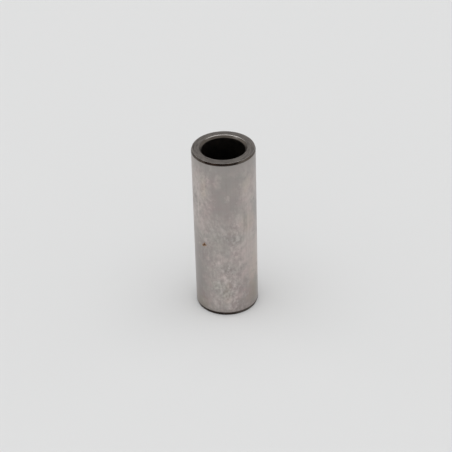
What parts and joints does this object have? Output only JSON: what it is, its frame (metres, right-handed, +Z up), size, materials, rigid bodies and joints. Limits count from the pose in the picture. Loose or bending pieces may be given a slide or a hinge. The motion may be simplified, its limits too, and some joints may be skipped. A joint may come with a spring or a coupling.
{
  "type": "gudgeon pin",
  "caption": "Hollow round steel pin with a ground barrel, lead-chamfered ends and a countersunk through bore; joins a piston to its connecting rod.",
  "frame": {"origin": "centre of the lower end face, on the pin's axis", "axes": "+Z up along the pin's axis, from the lower end face to the upper one; X and Y are free, because the pin is round"},
  "size_m": [0.022, 0.022, 0.063],
  "materials": {
    "ground_steel": "satin"
  },
  "bodies": {
    "root": {"gudgeon_pin": "ground_steel"}
  },
  "joints": []
}
